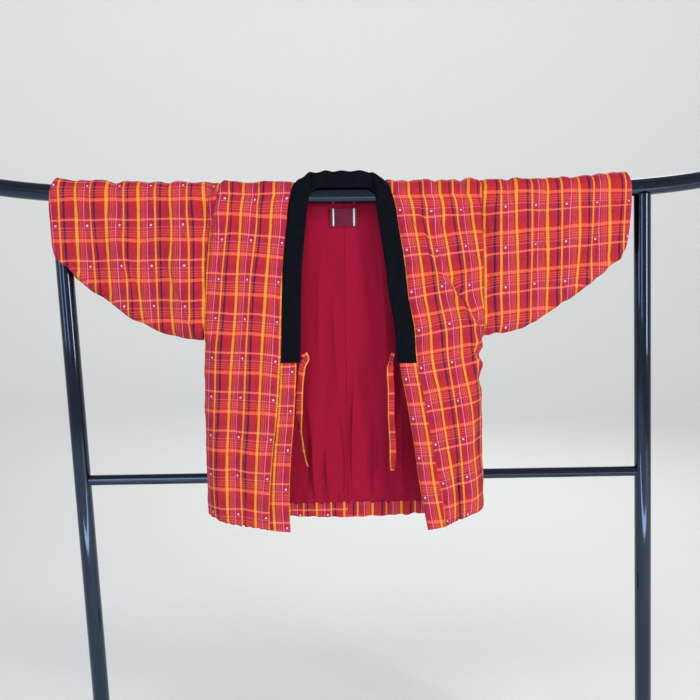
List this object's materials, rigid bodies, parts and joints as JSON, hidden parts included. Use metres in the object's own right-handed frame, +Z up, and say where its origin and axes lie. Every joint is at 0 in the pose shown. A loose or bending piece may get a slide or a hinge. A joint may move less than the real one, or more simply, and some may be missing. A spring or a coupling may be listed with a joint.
{
  "type": "hanten jacket on a kimono rack",
  "caption": "Padded plaid hanten jacket with velvet collar and open front, spread by its sleeves over the sagging top rail of a black kimono rack.",
  "frame": {"origin": "on the floor under the middle of the rail and of the feet", "axes": "+Z up, +X along the rail to the right seen from the open front, +Y towards the back of the jacket"},
  "size_m": [1.72, 0.45, 1.5473],
  "materials": {
    "plaid": "matt woven cotton",
    "velvet": "cotton velvet",
    "lining": "matt plain weave",
    "label": "woven label",
    "lacquer": "gloss black lacquer"
  },
  "bodies": {
    "root": {"body_left": "plaid", "body_right": "plaid", "sleeve_left": "plaid", "sleeve_right": "plaid", "collar_strip_left": "plaid", "collar_strip_right": "plaid", "tie_left": "plaid", "tie_right": "plaid", "hem_facing_left": "plaid", "hem_facing_right": "plaid", "lining_left": "lining", "lining_right": "lining", "collar_velvet": "velvet", "neck_label": "label", "rail": "lacquer", "rail_end_left": "lacquer", "rail_end_right": "lacquer", "post_left": "lacquer", "post_right": "lacquer", "crossbar": "lacquer", "post_socket_left": "lacquer", "post_socket_right": "lacquer", "foot_left": "lacquer", "foot_right": "lacquer"}
  },
  "joints": []
}
